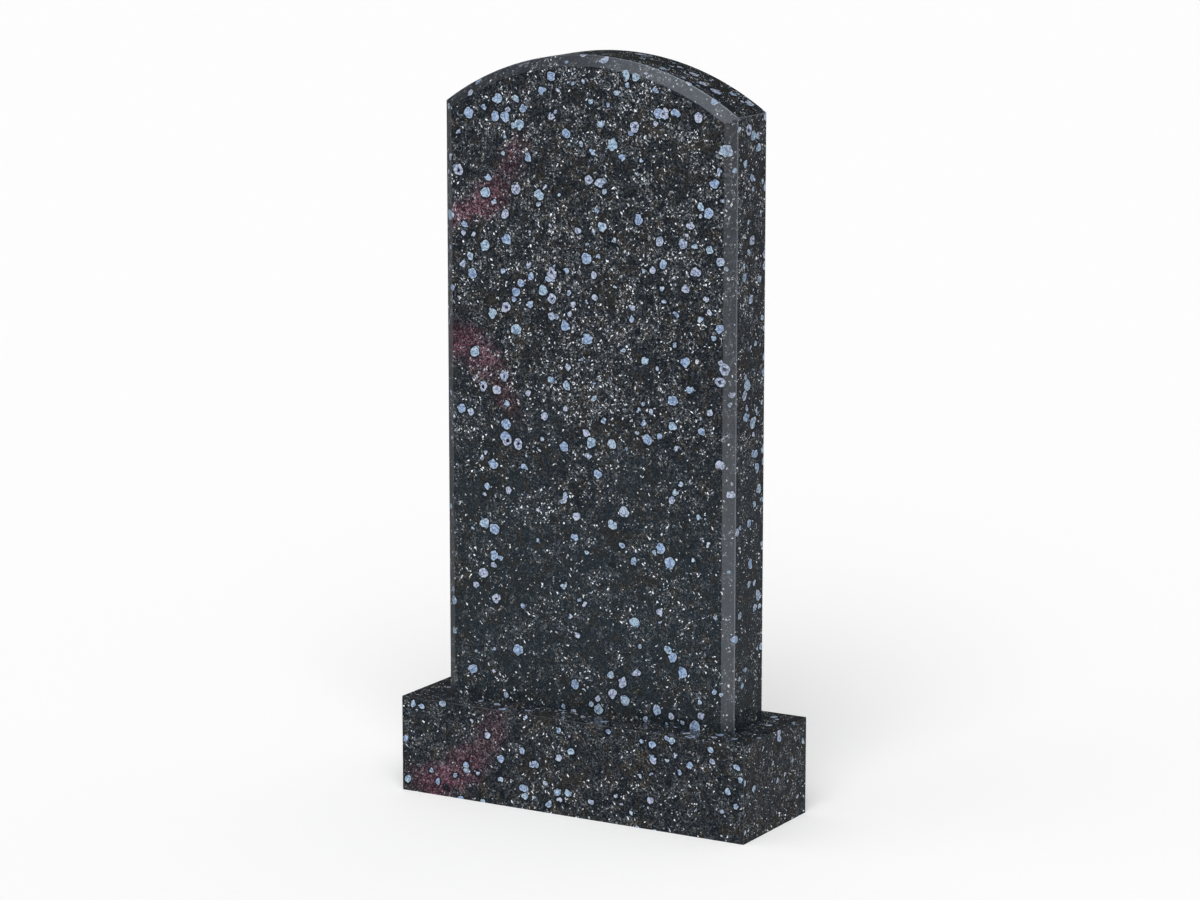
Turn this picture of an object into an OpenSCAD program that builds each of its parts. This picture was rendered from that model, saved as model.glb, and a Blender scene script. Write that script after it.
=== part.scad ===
// Granite headstone: a tall slab (stele) with a low arched top and a broad
// chamfer round its front face, standing on a plain rectangular plinth.
// Millimetres. X is the width, the face looks along -Y, and Z is up.
// The origin is the middle of the plinth's underside.

/* [Stele] */
// Width of the slab
stele_w = 500; // [400:10:600]
// Thickness of the slab, front face to back face
stele_t = 100; // [60:5:140]
// Height of the slab from its seat to the crown of the arch
stele_h = 1000; // [700:10:1400]
// Height of the arch: how far its crown stands above its two shoulders
arch_rise = 80; // [30:5:180]

/* [Front chamfer] */
// Width that the chamfer takes off the front face, measured in the face
chamfer_face = 16; // [4:1:30]
// Depth that the chamfer takes off the slab's edge, measured into the slab
chamfer_depth = 12; // [4:1:30]

/* [Plinth] */
// Height of the plinth
plinth_h = 150; // [80:10:300]
// Ledge of the plinth left clear beside the slab, on each side
ledge_side = 50; // [10:5:150]
// Ledge of the plinth left clear before the slab, and the same behind it
ledge_front = 50; // [10:5:150]

/* [Arrises] */
// Width of the small flat that takes the sharpness off the slab's back edges
stele_arris = 1.5; // [0.5:0.5:4]
// Width of the small flat that takes the sharpness off the plinth's edges
plinth_arris = 1.5; // [0.5:0.5:4]

/* [Hidden] */
$fn = 180;

// How far a cutting shape reaches past the stone that it cuts
overshoot = 10;

// The plinth is as large as the slab that stands on it, and its ledges.
plinth_w = stele_w + 2 * ledge_side;
plinth_d = stele_t + 2 * ledge_front;

// The slab's sawn foot sits on the plinth's flat top.
seat_z = plinth_h;
crown_z = seat_z + stele_h;

// The arch is one arc through both shoulders and the crown.
arch_r = (pow(stele_w / 2, 2) + pow(arch_rise, 2)) / (2 * arch_rise);
arch_centre_z = crown_z - arch_r;

// Slab seen from above: the chamfer on its two front corners, an arris on its
// two back corners.
module slab_plan() {
    front = -stele_t / 2;
    back = stele_t / 2;
    side = stele_w / 2;
    polygon([
        [-side + chamfer_face, front],
        [side - chamfer_face, front],
        [side, front + chamfer_depth],
        [side, back - stele_arris],
        [side - stele_arris, back],
        [-side + stele_arris, back],
        [-side, back - stele_arris],
        [-side, front + chamfer_depth]
    ]);
}

// Round disc whose rim is the arched top: the same chamfer and arris run
// round its edge, so they mitre with those of the slab's sides.
module arch_disc() {
    front = -stele_t / 2;
    back = stele_t / 2;
    translate([0, 0, arch_centre_z])
        rotate([-90, 0, 0])
            rotate_extrude()
                polygon([
                    [0, front],
                    [arch_r - chamfer_face, front],
                    [arch_r, front + chamfer_depth],
                    [arch_r, back - stele_arris],
                    [arch_r - stele_arris, back],
                    [0, back]
                ]);
}

// Stone above the arch, which is dressed away from the square-topped slab.
module arch_waste() {
    waste_w = stele_w + 2 * overshoot;
    waste_t = stele_t + 2 * overshoot;
    waste_h = arch_r + overshoot;
    difference() {
        translate([0, 0, arch_centre_z + waste_h / 2])
            cube([waste_w, waste_t, waste_h], center = true);
        arch_disc();
    }
}

module stele() {
    color("#34373c")
        difference() {
            translate([0, 0, seat_z])
                linear_extrude(stele_h)
                    slab_plan();
            arch_waste();
        }
}

// Plinth seen from above: a rectangle with an arris on all four corners.
module plinth_plan() {
    side = plinth_w / 2;
    face = plinth_d / 2;
    polygon([
        [-side + plinth_arris, -face],
        [side - plinth_arris, -face],
        [side, -face + plinth_arris],
        [side, face - plinth_arris],
        [side - plinth_arris, face],
        [-side + plinth_arris, face],
        [-side, face - plinth_arris],
        [-side, -face + plinth_arris]
    ]);
}

// Upright cross-section of the plinth, as wide as it is across: square at the
// foot, and an arris at each top corner.
module plinth_section(across) {
    polygon([
        [-across / 2, 0],
        [across / 2, 0],
        [across / 2, plinth_h - plinth_arris],
        [across / 2 - plinth_arris, plinth_h],
        [-across / 2 + plinth_arris, plinth_h],
        [-across / 2, plinth_h - plinth_arris]
    ]);
}

module plinth() {
    color("#2f3237")
        intersection() {
            linear_extrude(plinth_h)
                plinth_plan();
            rotate([90, 0, 0])
                linear_extrude(plinth_d, center = true)
                    plinth_section(plinth_w);
            rotate([90, 0, 90])
                linear_extrude(plinth_w, center = true)
                    plinth_section(plinth_d);
        }
}

stele();
plinth();
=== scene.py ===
# %% [markdown]
# # A polished granite headstone
# The real thing is two pieces of stone: an upright slab with an arched top,
# the stele, and the plain block that it stands on, the plinth. A mason saws
# both from a quarry block, grinds the chamfer, eases the edges and polishes
# what shows. This lesson makes the two pieces in the same order, then spends
# most of its length on the stone itself, because the grain is what the eye
# sees. The measured model is loaded first, and every size comes from it.

# %% Load the measured model
import math

import bpy
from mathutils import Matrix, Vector


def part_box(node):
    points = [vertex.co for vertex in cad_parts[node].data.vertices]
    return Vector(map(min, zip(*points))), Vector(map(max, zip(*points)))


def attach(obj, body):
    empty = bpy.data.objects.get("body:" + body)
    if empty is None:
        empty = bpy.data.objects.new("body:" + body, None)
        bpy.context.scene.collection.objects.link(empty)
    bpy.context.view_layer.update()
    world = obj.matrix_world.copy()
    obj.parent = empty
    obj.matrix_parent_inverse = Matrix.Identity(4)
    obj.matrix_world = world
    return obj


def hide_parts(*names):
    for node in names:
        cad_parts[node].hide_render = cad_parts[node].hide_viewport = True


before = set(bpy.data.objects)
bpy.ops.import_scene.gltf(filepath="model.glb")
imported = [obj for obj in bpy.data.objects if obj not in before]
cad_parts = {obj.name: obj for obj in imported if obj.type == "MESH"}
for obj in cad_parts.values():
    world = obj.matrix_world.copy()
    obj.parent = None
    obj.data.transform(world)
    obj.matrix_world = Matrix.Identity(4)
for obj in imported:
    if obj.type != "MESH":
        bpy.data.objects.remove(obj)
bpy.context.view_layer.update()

# %% [markdown]
# ## Measure the slab
# The chamfer and the arch have no size of their own in a box, so they are
# read off the measured slab: the side face ends at the shoulder and starts
# behind the chamfer, and the front face ends where the chamfer begins. The
# arch is one arc through both shoulders and the crown, so its radius follows
# from the half width and the rise.

# %% Read the sizes
HAIR = 1e-5  # closer than this is the same place, in metres

stele_low, stele_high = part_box("stele")
plinth_low, plinth_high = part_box("plinth")
slab_points = [vertex.co.copy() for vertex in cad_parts["stele"].data.vertices]
side_points = [p for p in slab_points if abs(p.x - stele_high.x) < HAIR]
face_points = [p for p in slab_points if abs(p.y - stele_low.y) < HAIR]

half_width = stele_high.x
seat_z = stele_low.z
crown_z = stele_high.z
arch_rise = crown_z - max(p.z for p in side_points)
chamfer_depth = min(p.y for p in side_points) - stele_low.y
chamfer_face = stele_high.x - max(p.x for p in face_points)
arch_radius = (half_width ** 2 + arch_rise ** 2) / (2 * arch_rise)
arch_centre_z = crown_z - arch_radius
print(f"arch radius {arch_radius:.4f}, rise {arch_rise:.4f}")
print(f"chamfer {chamfer_face:.4f} across the face, {chamfer_depth:.4f} deep")


# %% [markdown]
# ## Selecting by place
# In the window you would click a face or an edge. In a script the same choice
# is made by saying where it is or which way it looks. An operator acts on all
# that is selected, so everything is cleared before each choice.

# %% Helpers for edit mode
STRAIGHT = 0.9999  # two directions whose dot product is above this are the same
ON_THE_CUT = 1e-6  # a point closer to a saw cut than this lies on it, in metres
FRONT = Vector((0, -1, 0))
UP = Vector((0, 0, 1))
DOWN = -UP
LEFT = Vector((-1, 0, 0))
RIGHT = -LEFT


def start_piece(name):
    """Names the primitive that was just added, sets its place in its mesh and opens it for editing."""
    piece = bpy.context.object
    piece.name = name
    piece.data.name = name
    bpy.ops.object.transform_apply(location=True, rotation=True, scale=True)
    bpy.ops.object.mode_set(mode="EDIT")
    bpy.ops.mesh.select_mode(type="FACE")
    return piece


def choose(piece, kind, wanted):
    """Selects the faces or edges of a piece in edit mode for which wanted(...) is true, and says how many."""
    bpy.ops.mesh.select_mode(type=kind)
    bpy.ops.mesh.select_all(action="DESELECT")
    bpy.ops.object.mode_set(mode="OBJECT")
    parts = piece.data.polygons if kind == "FACE" else piece.data.edges
    chosen = [part for part in parts if wanted(part)]
    for part in chosen:
        part.select = True
    bpy.ops.object.mode_set(mode="EDIT")
    return len(chosen)


def faces_along(piece, direction):
    """Selects every face that looks straight along a direction."""
    return choose(piece, "FACE", lambda face: face.normal.dot(direction) > STRAIGHT)


def saw(place, keep):
    """Cuts the piece flat through place, and keeps the part on the side that keep points to."""
    keep = Vector(keep).normalized()
    bpy.ops.mesh.select_all(action="SELECT")
    bpy.ops.mesh.bisect(
        plane_co=place, plane_no=keep, threshold=ON_THE_CUT, use_fill=True, clear_inner=True
    )


# %% [markdown]
# ## The slab
# The arched top is a short stretch of a large circle, so the slab starts as a
# disc as large as that circle, lying on its edge. Its front rim is sloped
# first, while it is still a whole circle: inset shrinks the front face by one
# width all round, and its depth pushes the shrunk face forward. Two saw cuts
# then take the disc to width, a third squares it off at the circle's centre,
# and the cut face is pulled down past the foot. A disc is chosen over a bent
# or sculpted top because every point of the rim is then exactly on the arc.

# %% Rough out the slab
ARC_STEPS = 640  # points round the whole circle, about 4 mm apart
SPARE_FOOT = 0.03  # the foot is left this much too long, and is cut square last

shoulder_y = stele_low.y + chamfer_depth
body_depth = stele_high.y - shoulder_y
foot_z = seat_z - SPARE_FOOT

bpy.ops.object.select_all(action="DESELECT")
bpy.ops.mesh.primitive_cylinder_add(
    vertices=ARC_STEPS, radius=arch_radius, depth=body_depth,
    location=(0, shoulder_y + body_depth / 2, arch_centre_z),
    rotation=(math.pi / 2, 0, 0),
)
slab = start_piece("stele_granite")
faces_along(slab, FRONT)
bpy.ops.mesh.inset(thickness=chamfer_face, depth=chamfer_depth)
saw((half_width, 0, 0), LEFT)
saw((-half_width, 0, 0), RIGHT)
saw((0, 0, arch_centre_z), UP)
faces_along(slab, DOWN)
bpy.ops.mesh.extrude_region_move(
    TRANSFORM_OT_translate={"value": (0, 0, foot_z - arch_centre_z)}
)
bpy.ops.object.mode_set(mode="OBJECT")
print(f"rough slab: {len(slab.data.polygons)} faces")

# %% [markdown]
# ## The side chamfers
# A mason grinds the same slope down both sides with a cup wheel. Here it is
# one slanted saw cut for each side, through the line where the side ends and
# the line where the face begins. It meets the sloped rim of the arch in a
# mitre at each shoulder by itself, which an inset of the finished outline
# would get wrong, because the arc grows shorter as it shrinks.

# %% Grind the side chamfers
SAME_PLANE = math.radians(0.05)  # neighbours that turn less than this are merged into one face

bpy.ops.object.mode_set(mode="EDIT")
saw((half_width, shoulder_y, 0), (-chamfer_depth, chamfer_face, 0))
saw((-half_width, shoulder_y, 0), (chamfer_depth, chamfer_face, 0))
bpy.ops.mesh.select_all(action="SELECT")
bpy.ops.mesh.dissolve_limited(angle_limit=SAME_PLANE)
bpy.ops.object.mode_set(mode="OBJECT")
print(f"chamfered slab: {len(slab.data.polygons)} faces")

# %% [markdown]
# ## Material slots
# One stone carries several finishes: polished on the flats, honed (ground but
# not polished) on the chamfer, a ground line on each eased edge, and sawn
# underneath. The grey of the honed chamfer is in part a painted reflection, and
# the pale line on the slab's outer edges is in part a painted highlight. Each
# finish gets a slot, and faces are handed to a slot while they are still easy
# to tell apart by their normals.

# %% Hand the faces to the finishes
FINISHES = ["polished", "honed_and_sheen", "arris", "sawn"]  # a face that is handed to no other slot is polished
HONED_AND_SHEEN = FINISHES.index("honed_and_sheen")
ARRIS_HIGHLIGHT = FINISHES.index("arris")
SAWN = FINISHES.index("sawn")


def add_slots(piece, stone):
    """Gives a piece one empty material per finish, named for its stone."""
    for finish in FINISHES:
        piece.data.materials.append(bpy.data.materials.new(f"{stone}_{finish}"))


def hand_over(piece, slot, wanted):
    """Gives the faces for which wanted(face) is true to one slot."""
    chosen = [face for face in piece.data.polygons if wanted(face)]
    for face in chosen:
        face.material_index = slot
    print(f"{piece.name}: {len(chosen)} faces are {FINISHES[slot]}")


def looks_down(face):
    """True on an underside."""
    return face.normal.dot(DOWN) > STRAIGHT


def slopes_forward(face):
    """True on the chamfer, which looks forward and outward at once."""
    return 0.3 < face.normal.dot(FRONT) < 0.95


add_slots(slab, "stele")
# The chamfer's honed finish carries a grey veil that is in part a painted reflection.
hand_over(slab, HONED_AND_SHEEN, slopes_forward)

# %% [markdown]
# ## The arrises
# No stone edge is left razor sharp: a few strokes of a hand stone take off
# about a millimetre. That narrow round is what catches the light as a thin
# bright line, so it is modelled with a small bevel. The line where the
# chamfer meets the face is crisper than the outer edges. Weighted Normal then
# keeps the broad faces dead flat for the polish, and lets only the bevels
# look round.

# %% Ease the edges
OUTER_ARRIS = 0.0011
INNER_ARRIS = 0.0005
PLINTH_ARRIS = 0.0009
ARRIS_STEPS = 4
SHARP = math.radians(25)


def ease_edges(piece, width, slot, wanted):
    """Bevels every sharp edge of a piece for which wanted(middle of the edge) is true."""
    bpy.ops.object.select_all(action="DESELECT")
    bpy.context.view_layer.objects.active = piece
    piece.select_set(True)
    bpy.ops.object.mode_set(mode="EDIT")
    bpy.ops.mesh.select_mode(type="EDGE")
    bpy.ops.mesh.select_all(action="DESELECT")
    bpy.ops.mesh.edges_select_sharp(sharpness=SHARP)
    bpy.ops.object.mode_set(mode="OBJECT")
    sharp = {edge.index for edge in piece.data.edges if edge.select}
    spots = piece.data.vertices

    def is_wanted(edge):
        start, end = (spots[corner].co for corner in edge.vertices)
        return edge.index in sharp and wanted((start + end) / 2)

    bpy.ops.object.mode_set(mode="EDIT")
    count = choose(piece, "EDGE", is_wanted)
    bpy.ops.mesh.bevel(offset=width, segments=ARRIS_STEPS, profile=0.5, affect="EDGES", material=slot)
    bpy.ops.object.mode_set(mode="OBJECT")
    print(f"{piece.name}: {count} edges eased by {width * 1000:.1f} mm")


def keep_flats_flat(piece):
    """Shades the small rounds smooth and everything else flat."""
    bpy.ops.object.shade_smooth_by_angle(angle=SHARP)
    weighted = piece.modifiers.new("flat faces stay flat", "WEIGHTED_NORMAL")
    weighted.weight = 100
    weighted.keep_sharp = True
    bpy.ops.object.modifier_apply(modifier=weighted.name)


def on_the_face(middle):
    """True on the line where the chamfer meets the face."""
    return abs(middle.y - stele_low.y) < HAIR


def on_the_outline(middle):
    """True on the outer edges, and false on the two short mitres of the chamfer."""
    return middle.y > shoulder_y - HAIR


# The outer rounds take the arris finish, whose pale veil is in part a painted highlight line.
ease_edges(slab, OUTER_ARRIS, ARRIS_HIGHLIGHT, on_the_outline)
# The line where the chamfer meets the face takes the honed finish, whose grey is in part painted sheen.
ease_edges(slab, INNER_ARRIS, HONED_AND_SHEEN, on_the_face)

# %% [markdown]
# ## The foot
# The foot is sawn square last, so that its edges stay sharp: it is bedded on
# the plinth, and a rounded edge there would show as a dark gap.

# %% Saw the foot
bpy.ops.object.mode_set(mode="EDIT")
saw((0, 0, seat_z), UP)
bpy.ops.object.mode_set(mode="OBJECT")
hand_over(slab, SAWN, looks_down)
keep_flats_flat(slab)
print("slab stands from", seat_z, "to", max(v.co.z for v in slab.data.vertices))

# %% [markdown]
# ## The plinth
# The plinth is a plain sawn block with polished sides and top. A cube is set
# up a little too deep, its edges are eased, and the underside is then sawn
# off square. Nobody polishes what lies on the ground, so it keeps the saw's
# surface. The plinth's edges take the honed finish, whose grey is in part
# painted sheen, and are darker than the slab's, which are left as they came
# from the hand stone and carry a pale line that is in part a painted highlight.

# %% Make the plinth
plinth_size = plinth_high - plinth_low
bpy.ops.object.select_all(action="DESELECT")
bpy.ops.mesh.primitive_cube_add(
    size=1, location=(plinth_low + plinth_high - Vector((0, 0, SPARE_FOOT))) / 2
)
bpy.context.object.scale = plinth_size + Vector((0, 0, SPARE_FOOT))
block = start_piece("plinth_granite")
bpy.ops.object.mode_set(mode="OBJECT")
add_slots(block, "plinth")
# The plinth's edges take the honed finish, whose grey is in part painted sheen.
ease_edges(block, PLINTH_ARRIS, HONED_AND_SHEEN, lambda middle: middle.z > plinth_low.z)
bpy.ops.object.mode_set(mode="EDIT")
saw((0, 0, plinth_low.z), UP)
bpy.ops.object.mode_set(mode="OBJECT")
hand_over(block, SAWN, looks_down)
keep_flats_flat(block)

# %% [markdown]
# ## Put the pieces in place
# Both pieces take the place of the measured ones and ride on the one rigid body.

# %% Tie the pieces to the measured model
for piece, node in ((slab, "stele"), (block, "plinth")):
    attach(piece, "root")
    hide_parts(node)


# %% [markdown]
# ## Shader sums
# A stone pattern is a long sum of masks. Wired by hand it is a web of Math
# nodes, so one small class wraps a socket and lets the sums be written as
# sums: each sign adds its node. Every other node comes from one method, which
# takes the node's type, its settings, and what goes in its sockets.

# %% The wire
class Wire:
    """A node tree, and one output in it that can be used in sums like a number."""

    def __init__(self, tree, socket=None):
        self.tree = tree
        self.socket = socket

    def node(self, kind, settings=None, sockets=None, output=0):
        """Adds a node, makes its settings, fills or links its sockets, and wraps one of its outputs."""
        made = self.tree.nodes.new(kind)
        for name, value in (settings or {}).items():
            setattr(made, name, value)
        for name, value in (sockets or {}).items():
            if isinstance(value, Wire):
                self.tree.links.new(value.socket, made.inputs[name])
            else:
                made.inputs[name].default_value = value
        if output is None:
            return None
        return Wire(self.tree, made.outputs[output])

    def out(self, name):
        """Another output of the same node."""
        return Wire(self.tree, self.socket.node.outputs[name])

    def sum(self, operation, first, second):
        """Adds a Math node."""
        return self.node("ShaderNodeMath", {"operation": operation}, {0: first, 1: second})

    def __add__(self, other):
        return self.sum("ADD", self, other)

    def __sub__(self, other):
        return self.sum("SUBTRACT", self, other)

    def __rsub__(self, other):
        return self.sum("SUBTRACT", other, self)

    def __mul__(self, other):
        return self.sum("MULTIPLY", self, other)

    def __gt__(self, other):
        return self.sum("GREATER_THAN", self, other)

    def __lt__(self, other):
        return self.sum("LESS_THAN", self, other)

    __radd__ = __add__
    __rmul__ = __mul__


# %% [markdown]
# ## Small tools for stone
# A few tools do most of the work. `cloud` is smooth noise, for zones. `slope`
# turns a value into a soft mask. `strands` draws thin curling lines, by
# keeping only the places where a cloud is halfway, like one contour line on a
# map. `blend` lays one colour over another through a mask. `tone` writes a
# colour as it would be picked from a paint chart, in 0 to 255, and works out
# the light values that the shader needs. `shifted` pushes places about, so
# that what is drawn on them comes out ragged.

# %% Cloud, slope, strands, blend, tone and shifted
def cloud(place, size, detail=2.0, roughness=0.5):
    """Smooth noise from 0 to 1, whose blotches are about size metres across."""
    return place.node(
        "ShaderNodeTexNoise", {"noise_dimensions": "3D"},
        {"Vector": place, "Scale": 1 / size, "Detail": detail, "Roughness": roughness},
    )


def slope(value, low, high):
    """0 where value is under low, 1 where it is over high, and smooth between."""
    return value.node(
        "ShaderNodeMapRange", {"interpolation_type": "SMOOTHSTEP"},
        {"Value": value, "From Min": low, "From Max": high},
    )


def strands(place, size, width):
    """Thin curling lines: they lie where smooth noise passes through its middle value."""
    wave = cloud(place, size, 2.0, 0.6) - 0.5
    return slope(wave * wave, width * width, 0.0)


def blend(mask, below, top):
    """The colour below, with the colour on top laid over it where mask is 1."""
    return mask.node("ShaderNodeMix", {"data_type": "RGBA"}, {0: mask, 6: below, 7: top}, output=2)


def tone(red, green, blue):
    """A colour picked in 0 to 255, as the linear values that a shader takes."""
    def linear(value):
        part = value / 255
        return part / 12.92 if part <= 0.04045 else ((part + 0.055) / 1.055) ** 2.4
    return (linear(red), linear(green), linear(blue), 1.0)


def shifted(place, noise, reach):
    """The place, pushed about by a cloud's colour by up to reach metres, so that round shapes turn ragged."""
    return place.node(
        "ShaderNodeVectorMath", {"operation": "MULTIPLY_ADD"},
        {0: noise.out("Color"), 1: (reach, reach, reach), 2: place},
    )


# %% [markdown]
# ## Crystals
# Every grain in the stone is a small body with its own place, size and
# colour. A Voronoi texture gives each cell a seed point and three random
# numbers, which stand for whether a crystal grew there, how large it is and
# what tint it has. The stone is solid, so the crystals are balls in space,
# and a face of the slab shows the slices that the saw happened to cut.

# %% Grow crystals
class Crystals:
    """One kind of crystal in the stone. spacing is in metres; share is how many cells hold one, from 0 to 1,
    or a function that works it out from a cell's seed point; small and large are radii as parts of the
    spacing; edge is how soft the outline is; a MANHATTAN metric makes them angular."""

    def __init__(self, place, spacing, share, small, large, edge, metric="EUCLIDEAN"):
        cells = place.node(
            "ShaderNodeTexVoronoi", {"voronoi_dimensions": "3D", "distance": metric},
            {"Vector": place, "Scale": 1 / spacing},
        )
        luck = place.node("ShaderNodeSeparateColor", {}, {0: cells.out("Color")})
        self.seed = cells.out("Position")
        self.tint = luck.out("Blue")
        if callable(share):
            share = share(self.seed)
        self.grown = luck < share
        self.radius = small + luck.out("Green") * (large - small)
        self.depth = self.radius - cells
        self.body = slope(self.depth, 0.0, edge) * self.grown


# %% [markdown]
# ## Where the stains lie
# Where iron got in, the stone turned maroon. A stain is a few overlapping
# blobs along a bent line, each an ellipsoid with a ragged outline. Each line
# below gives a blob's middle and radii in metres in the piece's own space,
# its tilt in degrees and its strength: a stain is strongest where the iron
# got in and fades along its tail.

# %% Stains
STELE_STAINS = [
    ((-0.210, -0.05, 0.905), (0.055, 0.06, 0.022), -15, 0.95),
    ((-0.165, -0.05, 0.930), (0.050, 0.06, 0.030), -42, 0.80),
    ((-0.128, -0.05, 0.985), (0.050, 0.06, 0.024), -65, 0.55),
    ((-0.225, -0.05, 0.708), (0.048, 0.06, 0.032), 10, 1.00),
    ((-0.186, -0.05, 0.688), (0.048, 0.06, 0.034), 40, 0.90),
    ((-0.142, -0.05, 0.632), (0.048, 0.06, 0.022), 62, 0.50),
]
PLINTH_STAINS = [
    ((-0.235, -0.10, 0.024), (0.064, 0.06, 0.032), -10, 1.00),
    ((-0.185, -0.10, 0.052), (0.060, 0.06, 0.036), -42, 0.85),
    ((-0.140, -0.10, 0.110), (0.055, 0.06, 0.030), -65, 0.55),
]
STAIN_FRAY = 0.03  # how large the tatters of a stain's outline are, in metres


def stain_mask(object_place, place, stains):
    """Up to 1 in the middle of a stain, 0 away from it, and speckled between."""
    wander = (cloud(place, STAIN_FRAY, 4.0, 0.75) - 0.5) * 1.8
    stained = None
    for centre, radii, tilt, strength in stains:
        nearby = place.node(
            "ShaderNodeMapping", {"vector_type": "TEXTURE"},
            {"Vector": object_place, "Location": centre, "Scale": radii,
             "Rotation": (0, math.radians(tilt), 0)},
        )
        far = place.node("ShaderNodeVectorMath", {"operation": "LENGTH"}, {0: nearby}, output="Value")
        blob = slope(far + wander, 1.30, 0.30) * strength
        stained = blob if stained is None else stained.sum("MAXIMUM", stained, blob)
    return stained


print(f"blobs of stain: {len(STELE_STAINS)} on the stele, {len(PLINTH_STAINS)} on the plinth")

# %% [markdown]
# ## The granite
# The ground is nearly black, blue-green in places and brown in others. Over
# it lie, from fine to coarse: a felt of grey and brown specks, short curling
# threads, angular flecks from grey to white, and the pale blue grains that
# make this stone worth quarrying. They are laid on in that order, each over
# the last, as a painter would do it. Nothing is spread evenly. The stone lies
# in beds, and each piece was cut from its own place in the quarry: the upper
# bed is darker and full of flecks and grains, the lower bed is clearer, and
# the top bed that the plinth came from has more felt and fewer flecks. The
# sizes below say how wide each kind of patch is, in metres.

# %% Zones of the quarry
UPPER_BED = (2.52, 2.80)  # the lower bed turns into this one between these heights, in metres
TOP_BED = (4.0, 5.0)
BED_WANDER = 0.6
BED_SIZE = 0.11
WARM_SIZE = 0.07
DRIFT_SIZE = 0.075
SWARM_SIZE = 0.020
BROWN_SIZE = 0.016
ELSEWHERE = {"Location": (3.1, 4.7, 5.9), "Rotation": (0.7, 1.1, 0.4)}


class Zones:
    """Which kind of stone lies where. Apart from the places, every value is a mask from 0 to 1."""

    def __init__(self, desk, quarry_place, stains):
        object_place = desk.node("ShaderNodeTexCoord", output="Object")
        place = desk.node("ShaderNodeMapping", {}, {"Vector": object_place, "Location": quarry_place})
        ragged = shifted(place, cloud(place, 0.014, 1.0), 0.008)
        ragged = shifted(ragged, cloud(place, 0.0045, 1.0), 0.004)
        self.place = place
        self.ragged = ragged
        self.elsewhere = desk.node("ShaderNodeMapping", {}, {"Vector": ragged, **ELSEWHERE})

        # Beds: lower, upper and top. The top bed counts as upper too.
        height = desk.node("ShaderNodeSeparateXYZ", {}, {0: place}, output="Z")
        bed_edge = (cloud(place, BED_SIZE, 4.0, 0.6) - 0.5) * BED_WANDER
        self.upper = slope(height + bed_edge, *UPPER_BED)
        self.top = slope(height, *TOP_BED)

        # Drifts full of flecks, with small swarms in them and clear ground between.
        swept = shifted(place, cloud(place, 0.3), 0.6)
        drift = slope(cloud(swept, DRIFT_SIZE, 4.0, 0.65) + self.upper * 0.05, 0.40, 0.66)
        self.drift = drift * (1 - self.top * 0.7)
        self.swarm = slope(cloud(ragged, SWARM_SIZE, 3.0, 0.6) + self.drift * 0.12, 0.48, 0.64)

        # Brown patches, and stains, which hide the brown.
        self.stained = stain_mask(object_place, place, stains)
        warm = slope(cloud(place, WARM_SIZE, 4.0, 0.65), 0.50, 0.66)
        brown = slope(cloud(place, BROWN_SIZE, 3.0, 0.65) + warm * 0.10, 0.49, 0.63)
        self.brown = brown * (1 - self.stained)


print(f"swarms of flecks are about {SWARM_SIZE * 1000:.0f} mm across, and beds wander by {BED_WANDER} m")

# %% [markdown]
# ## Where the grains grew
# The grains come in three sizes: large ones in loose groups, middling ones in
# tight clusters, and small ones in the drifts of flecks. Whether a cell holds
# a grain is read from a cloud at the cell's own seed point, so that no grain
# is cut off at the edge of a group. Round each larger grain the stone is
# clean and dark, as if the grain had pushed the flecks away, so the clear
# places are worked out here, before anything is laid on.

# %% Grow the grains
LARGE_SPACING = 0.0205
MIDDLING_SPACING = 0.0145
SMALL_SPACING = 0.0105
WIDEST = 0.46  # the largest radius of a grain, as a part of the spacing
GROUP_SIZE = 0.050
CLUSTER_SIZE = 0.026


def grow_grains(zones):
    """The grains from small to large, and a mask that is 0 on the larger ones and just round them."""
    def grouped(seed):
        return slope(cloud(seed, GROUP_SIZE), 0.45, 0.58) * (zones.upper * 0.26 + 0.27) + 0.025

    def clustered(seed):
        return slope(cloud(seed, CLUSTER_SIZE), 0.52, 0.60) * (zones.upper * 0.14 + 0.20) + 0.005

    crooked = shifted(zones.elsewhere, cloud(zones.elsewhere, 0.006, 1.0), 0.003)
    large = Crystals(zones.ragged, LARGE_SPACING, grouped, 0.20, WIDEST, 0.05)
    middling = Crystals(crooked, MIDDLING_SPACING, clustered, 0.30, WIDEST, 0.07)
    small = Crystals(zones.elsewhere, SMALL_SPACING, zones.drift * 0.03 + 0.004, 0.22, WIDEST, 0.08)
    clear = 1 - slope(large.depth, -0.16, -0.02) * large.grown
    clear = clear * (1 - slope(middling.depth, -0.2, -0.02) * middling.grown)
    return (small, middling, large), clear


for spacing in (SMALL_SPACING, MIDDLING_SPACING, LARGE_SPACING):
    print(f"grains up to {2 * WIDEST * spacing * 1000:.1f} mm wide")

# %% [markdown]
# ## Ground and felt
# The ground is what shows between everything else: almost black above and
# slate green below, with brown patches and blacker specks. The felt is a mist
# of grains too small to tell apart. It is one cloud, rich in fine detail and
# cut off at two heights: a dim layer, and a paler one where it is thickest.

# %% Lay the ground and the felt
GROUND_UPPER = tone(20, 26, 33)
GROUND_LOWER = tone(31, 40, 46)
GROUND_WARM = tone(38, 37, 35)
SPECK_BLACK = tone(12, 15, 19)
FELT_DIM = tone(61, 67, 71)
FELT_PALE = tone(122, 127, 135)
FELT_BROWN = tone(110, 102, 92)
FELT_BROWN_DIM = tone(65, 62, 58)
SPECK_SIZE = 0.0045
FELT_SIZE = 0.0032


def lay_ground(zones):
    """The bare ground, without anything on it."""
    ground = blend(zones.upper, GROUND_LOWER, GROUND_UPPER)
    ground = blend(zones.brown * 0.6, ground, GROUND_WARM)
    specks = slope(cloud(zones.place, SPECK_SIZE, 2.0, 0.7), 0.53, 0.64)
    return blend(specks * (zones.upper * 0.5 + 0.4), ground, SPECK_BLACK)


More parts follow.
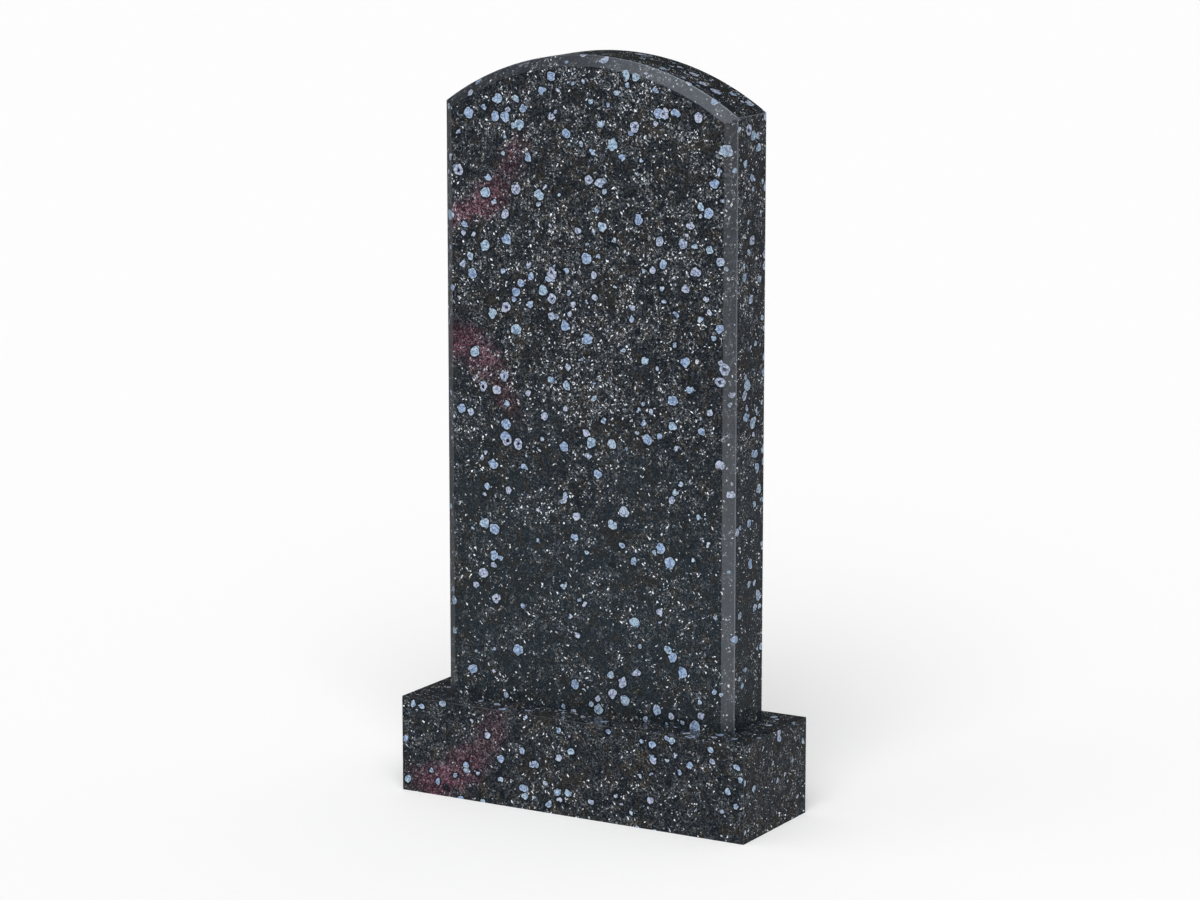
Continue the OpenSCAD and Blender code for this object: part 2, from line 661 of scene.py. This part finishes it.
def lay_felt(zones, clear, colour):
    """The colour with the felt laid over it, thicker in the swarms, the stains and the top bed."""
    more = zones.swarm * 0.034 + zones.drift * 0.016 + zones.upper * 0.035
    more = more + zones.top * 0.038 + zones.stained * 0.07
    felt = cloud(zones.ragged, FELT_SIZE, 3.0, 0.75) + more - 0.112
    dim = blend(zones.brown, FELT_DIM, FELT_BROWN_DIM)
    pale = blend(zones.brown, FELT_PALE, FELT_BROWN)
    colour = blend(slope(felt, 0.46, 0.62) * clear, colour, dim)
    return blend(slope(felt, 0.59, 0.72) * clear, colour, pale)


print(f"felt of {FELT_SIZE * 1000:.1f} mm over specks of {SPECK_SIZE * 1000:.1f} mm")

# %% [markdown]
# ## Threads
# Between the grains run fine curling threads, broken into short bits: dull
# ones everywhere, and pale ones mostly in the swarms. The strands are
# unbroken by themselves, and a second cloud breaks them.

# %% Lay the threads
THREAD_PALE = tone(196, 200, 206)
THREAD_SIZE = 0.0055  # how wide the curls are, in metres


def lay_threads(zones, clear, colour):
    """The colour with dull threads and then pale ones laid over it."""
    bits = slope(cloud(zones.place, 0.0032, 2.0, 0.6), 0.44, 0.54)
    dull = strands(zones.place, THREAD_SIZE, 0.05) * bits * clear
    dull = dull * (zones.swarm * 0.22 + zones.upper * 0.06 + 0.14)
    colour = blend(dull, colour, blend(zones.brown, FELT_PALE, FELT_BROWN))
    rarer_bits = slope(cloud(zones.place, 0.004, 2.0, 0.6), 0.54, 0.60)
    pale = strands(zones.elsewhere, THREAD_SIZE * 1.3, 0.045) * rarer_bits * clear
    pale = pale * (zones.swarm * (zones.upper * 0.25 + 0.20) + 0.05) * (1 - zones.stained * 0.5)
    return blend(pale, colour, THREAD_PALE)


print(f"threads curl in {THREAD_SIZE * 1000:.1f} mm")

# %% [markdown]
# ## The iron in the stains
# Iron tints the ground, the felt and the threads, but not the flecks and the
# grains, which are hard and clear. So the colour so far is multiplied towards
# maroon here, and the flecks and grains are laid on after it.

# %% Tint the stains
STAIN_TINT = (1.90, 0.79, 0.93)
STAIN_GLOW = (0.009, 0.0, 0.002)


def lay_stains(zones, colour):
    """The colour, turned maroon where the stone is stained."""
    tinted = zones.place.node(
        "ShaderNodeVectorMath", {"operation": "MULTIPLY_ADD"}, {0: colour, 1: STAIN_TINT, 2: STAIN_GLOW}
    )
    mottled = 0.55 + slope(cloud(zones.place, 0.005), 0.4, 0.6) * 0.45
    return blend(zones.stained * mottled, colour, tinted)


print("a stain multiplies red, green and blue by", STAIN_TINT)

# %% [markdown]
# ## Flecks
# The flecks are angular splinters, about three times as long as they are
# thick, from grey to white. One stretched pattern would point them all the
# same way, so there are three lies, each turned its own way.

# %% Lay the flecks
FLECK_GREY = tone(122, 131, 142)
FLECK_WHITE = tone(240, 247, 255)

# Each lie of the flecks: how it is turned, the spacing in metres, and how many times longer than thick.
FLECK_LIES = [
    ((0, 0.9, 0.1), 0.0022, 2.6),
    ((0, -0.7, -0.3), 0.0024, 3.0),
    ((1.05, 0, 0.35), 0.0030, 3.0),
]


def lay_flecks(zones, clear, colour):
    """The colour with the three lies of flecks over it."""
    bent = shifted(zones.place, cloud(zones.place, 0.007, 1.0), 0.006)
    crowding = zones.drift * (zones.swarm * 0.10 + zones.upper * 0.03 + 0.005)
    crowding = crowding + zones.top * 0.01 + 0.03
    for turn, spacing, stretch in FLECK_LIES:
        lie = bent.node(
            "ShaderNodeMapping", {"vector_type": "TEXTURE"},
            {"Vector": bent, "Rotation": turn, "Scale": (1, 1, stretch)},
        )
        flecks = Crystals(lie, spacing, crowding, 0.28, 0.68, 0.05, "MANHATTAN")
        fleck = blend(slope(flecks.tint, 0.0, 0.85), FLECK_GREY, FLECK_WHITE)
        colour = blend(flecks.body * clear * (1 - zones.stained * 0.55), colour, fleck)
    return colour


print(f"flecks lie {len(FLECK_LIES)} ways")

# %% [markdown]
# ## The face of a grain
# Each grain has a lighter rim, a core with bright and dark spots, fine cracks
# and a dark halo, and a few have a black hole in the middle. All of it is
# worked out from how deep a point lies inside its grain. The smallest grains
# are the palest.

# %% Lay the grains
GRAIN_BLUE = tone(142, 166, 200)
GRAIN_TEAL = tone(156, 182, 200)
GRAIN_LILAC = tone(174, 178, 200)
GRAIN_PALE = tone(192, 197, 208)
GRAIN_RIM = tone(196, 209, 224)
GRAIN_CORE = tone(82, 100, 130)
CRACK_GAP = 0.0095  # how far apart the cracks are, in metres
HOLED = 0.82  # grains whose tint number is above this have a hole

# For the small, middling and large grains: the brightest tint, and how wide the rim is.
GRAIN_LOOKS = [(GRAIN_PALE, 0.10), (GRAIN_LILAC, 0.12), (GRAIN_LILAC, 0.09)]


def lay_grains(zones, grains, colour):
    """The colour with the grains laid over it, the small ones first."""
    spots = slope(cloud(zones.place, 0.0030, 2.0, 0.7), 0.54, 0.60)
    bright_spots = slope(cloud(zones.ragged, 0.0040, 2.0, 0.7), 0.52, 0.60)
    cracks = zones.place.node(
        "ShaderNodeTexVoronoi", {"voronoi_dimensions": "3D", "feature": "DISTANCE_TO_EDGE"},
        {"Vector": zones.elsewhere, "Scale": 1 / CRACK_GAP},
    )
    cracked = slope(cracks, 0.09, 0.02)
    for grain, (bright, rim) in zip(grains, GRAIN_LOOKS):
        tint = blend(slope(grain.tint, 0.30, 0.45), GRAIN_BLUE, GRAIN_TEAL)
        tint = blend(slope(grain.tint, 0.55, 0.75), tint, bright)
        core = blend(bright_spots * 0.6, tint, GRAIN_RIM)
        core = blend(spots, core, GRAIN_CORE)
        core = blend(slope(grain.depth, rim * 2.4, rim * 3.2) * (grain.tint > HOLED), core, SPECK_BLACK)
        face = blend(slope(grain.depth, rim, rim * 0.4) * 0.7, core, GRAIN_RIM)
        face = blend(cracked * 0.8, face, GRAIN_CORE)
        around = blend(slope(grain.depth, -0.2, 0.0) * grain.grown * 0.6, colour, GROUND_UPPER)
        colour = blend(grain.body, around, face)
    return colour


print(f"{len(GRAIN_LOOKS)} sizes of grain, with cracks about {CRACK_GAP * 1000:.1f} mm apart")

# %% [markdown]
# ## All of it together
# The stone is now a short recipe. It also says where each point lies in the
# quarry and where the large grains are, because the finishes need both.

# %% The recipe
def granite(desk, quarry_place, stains):
    """The place in the quarry, the colour of the stone there, and a mask of the large grains."""
    zones = Zones(desk, quarry_place, stains)
    grains, clear = grow_grains(zones)
    colour = lay_ground(zones)
    colour = lay_felt(zones, clear, colour)
    colour = lay_threads(zones, clear, colour)
    colour = lay_stains(zones, colour)
    colour = lay_flecks(zones, clear, colour)
    colour = lay_grains(zones, grains, colour)
    return zones.place, colour, grains[-1].body


# %% [markdown]
# ## The finishes
# The same stone looks dark where it is polished and greyer where it is only
# ground, because small scratches scatter white light over the colour. So each
# finish is the granite under a thin grey veil, with its own roughness. On the
# chamfer that veil is in part a painted reflection, and on the slab's outer
# arrises, the palest, it is in part a painted highlight line. The polish is
# not perfect either: it dulls in faint patches and has tiny pits.

# %% Make the finishes
# The fine veil is grey partly from honing and partly as a painted reflection.
FINE_HAZE_AND_SHEEN = tone(60, 65, 73)
# The edge veil is in part a painted highlight line on the slab's outer arrises.
EDGE_HIGHLIGHT_GREY = tone(115, 121, 130)
VEIL_COARSE = tone(106, 110, 116)
SCRATCH_SIZE = 0.004
DULL_SIZE = 0.05
PIT_SIZE = 0.0018
PIT_DEPTH = 0.0003


def finish_stone(material, quarry_place, stains, veil, tint, roughness, relief, gloss):
    """Fills one material with the granite under one finish."""
    material.use_nodes = True
    tree = material.node_tree
    tree.nodes.clear()
    desk = Wire(tree)
    place, colour, grain = granite(desk, quarry_place, stains)
    # The veil is partly real haze and partly painted sheen: a painted reflection on the chamfer and a painted
    # highlight on the slab's outer arrises. On the sawn underside it is real.
    if veil:
        haze_and_sheen = (veil + (cloud(place, SCRATCH_SIZE) - 0.5) * 0.2) * (1 - grain * 0.6)
        colour = blend(haze_and_sheen, colour, tint)
    dulled = roughness + (cloud(place, DULL_SIZE, 3.0) - 0.5) * roughness * 0.5 - grain * roughness * 0.2
    pits = desk.node(
        "ShaderNodeBump", {},
        {"Strength": relief, "Distance": PIT_DEPTH, "Height": cloud(place, PIT_SIZE, 3.0, 0.7)},
    )
    shader = desk.node(
        "ShaderNodeBsdfPrincipled", {},
        {"Base Color": colour, "Roughness": dulled, "Normal": pits, "Specular IOR Level": gloss},
    )
    desk.node("ShaderNodeOutputMaterial", {}, {"Surface": shader}, output=None)
    print(f"{material.name}: {len(tree.nodes)} nodes")


# For each finish: how much veil and its colour, how rough, how much relief, how strong a gloss.
LOOKS = {
    "polished": (0.0, FINE_HAZE_AND_SHEEN, 0.12, 0.02, 0.2),
    # The honed veil is in part a painted reflection.
    "honed_and_sheen": (0.31, FINE_HAZE_AND_SHEEN, 0.37, 0.1, 1.0),
    # The arris veil is in part a painted highlight line.
    "arris": (0.6, EDGE_HIGHLIGHT_GREY, 0.25, 0.1, 1.0),
    "sawn": (0.70, VEIL_COARSE, 0.85, 0.5, 0.2),
}
SLAB_QUARRY_PLACE = (0.3, 1.7, 2.1)
BLOCK_QUARRY_PLACE = (2.6, 9.1, 6.3)

for piece, quarry_place, stains in (
    (slab, SLAB_QUARRY_PLACE, STELE_STAINS),
    (block, BLOCK_QUARRY_PLACE, PLINTH_STAINS),
):
    for slot, finish in enumerate(FINISHES):
        finish_stone(piece.data.materials[slot], quarry_place, stains, *LOOKS[finish])

# %% [markdown]
# ## The studio
# The stone stands on a plain pale floor that runs on past the picture.
# Polished stone needs two kinds of light. One soft lamp high in front and a
# weak one on the left bring out the colour. The sheen is made apart from
# them, by white cards that only the gloss can see: large ones overhead that
# light up the sloped rim of the arch, more on its right half than on its
# left, and a sheet on the floor in front of the right chamfer, which is why
# that chamfer is darker at the top than lower down. The floor is darker in
# the polish than to the eye, as if black cloth lay round the stone: else the
# dark face would mirror it and turn grey.

# %% Floor
FLOOR_REACH = 120  # in metres
FLOOR_SEEN = tone(250, 250, 250)
FLOOR_MIRRORED = tone(92, 92, 96)
FLOOR_GLOW = 0.12
bpy.ops.object.select_all(action="DESELECT")
bpy.ops.mesh.primitive_plane_add(size=FLOOR_REACH, location=(0, 0, plinth_low.z))
floor = bpy.context.object
floor.name = "studio_floor"
floor_paint = bpy.data.materials.new("pale_floor")
floor_paint.use_nodes = True
paint = Wire(floor_paint.node_tree)
mirrored = paint.node("ShaderNodeLightPath", output="Is Glossy Ray")
shown = blend(mirrored, FLOOR_SEEN, FLOOR_MIRRORED)
floor_shader = floor_paint.node_tree.nodes["Principled BSDF"]
floor_paint.node_tree.links.new(shown.socket, floor_shader.inputs["Base Color"])
floor_shader.inputs["Roughness"].default_value = 0.9
floor_shader.inputs["Specular IOR Level"].default_value = 0.0
floor_shader.inputs["Emission Color"].default_value = (1, 1, 1, 1)
floor_shader.inputs["Emission Strength"].default_value = FLOOR_GLOW
floor.data.materials.append(floor_paint)
print(f"{floor.name}: {FLOOR_REACH} m wide")

# %% Lights
CARD_COLOUR = (0.88, 0.96, 1.08)


def add_lamp(name, kind, strength, turn, is_card):
    """Adds a lamp that lights either the colour of the stone or, as a card, only its gloss."""
    lamp = bpy.data.lights.new(name, kind)
    lamp.energy = strength
    holder = bpy.data.objects.new(name, lamp)
    holder.rotation_euler = [math.radians(part) for part in turn]
    holder.visible_camera = False
    holder.visible_diffuse = not is_card
    holder.visible_glossy = is_card
    if is_card:
        lamp.color = CARD_COLOUR
    bpy.context.scene.collection.objects.link(holder)
    print(f"{name}: {'gloss' if is_card else 'colour'}, strength {strength}")
    return holder


# Each distant lamp: how it is turned, its strength, how wide it is, and whether it is a card.
SUNS = {
    "key_high_in_front": ((44, 0, 24), 1.95, 44, False),
    "fill_from_left": ((55, 0, -60), 0.2, 60, False),
    "card_over_the_arch": ((21, 0, 38), 1.6, 79, True),
    "card_overhead": ((12, 0, 180), 0.35, 50, True),
}
for name, (turn, strength, width, is_card) in SUNS.items():
    add_lamp(name, "SUN", strength, turn, is_card).data.angle = math.radians(width)

SHEET_PLACE = (1.45, -1.25, 0.002)
SHEET_SIDE = 2.4
SHEET_POWER = 18
sheet = add_lamp("sheet_on_the_floor", "AREA", SHEET_POWER, (180, 0, 45), True)
sheet.location = SHEET_PLACE
sheet.data.size = SHEET_SIDE

# %% Air
AIR_SEEN = (0.95, 0.95, 0.95, 1)
AIR_LIGHT = (0.42, 0.42, 0.42, 1)
AIR_MIRRORED = (0.03, 0.03, 0.03, 1)
world = bpy.data.worlds.new("studio_air")
world.use_nodes = True
bpy.context.scene.world = world
air = Wire(world.node_tree)
ray = air.node("ShaderNodeLightPath", output="Is Camera Ray")
glossy = ray.out("Is Glossy Ray")
shade = blend(glossy, AIR_LIGHT, AIR_MIRRORED)
shade = blend(ray, shade, AIR_SEEN)
world.node_tree.links.new(shade.socket, world.node_tree.nodes["Background"].inputs["Color"])
print(f"air: {AIR_LIGHT[0]} to light with, {AIR_SEEN[0]} to look at, {AIR_MIRRORED[0]} in the polish")

# %% [markdown]
# ## The camera
# A long lens from about six metres, standing to the right and looking a
# little down, keeps the uprights almost parallel.

# %% Camera
CAMERA_PLACE = Vector((2.965, -5.111, 1.696))
CAMERA_TURN = math.radians(30.15)
CAMERA_DIP = math.radians(10.98)
CAMERA_LENS = 119.4  # in millimetres, as is the sensor
CAMERA_SENSOR = 36

camera_data = bpy.data.cameras.new("camera")
camera_data.lens = CAMERA_LENS
camera_data.sensor_width = CAMERA_SENSOR
camera = bpy.data.objects.new("camera", camera_data)
camera.location = CAMERA_PLACE
camera.rotation_euler = (math.pi / 2 - CAMERA_DIP, 0, CAMERA_TURN)
bpy.context.scene.collection.objects.link(camera)
bpy.context.scene.camera = camera
bpy.context.scene.view_settings.view_transform = "Standard"
print(f"camera {CAMERA_PLACE.length:.2f} m from the foot of the stone, lens {CAMERA_LENS} mm")
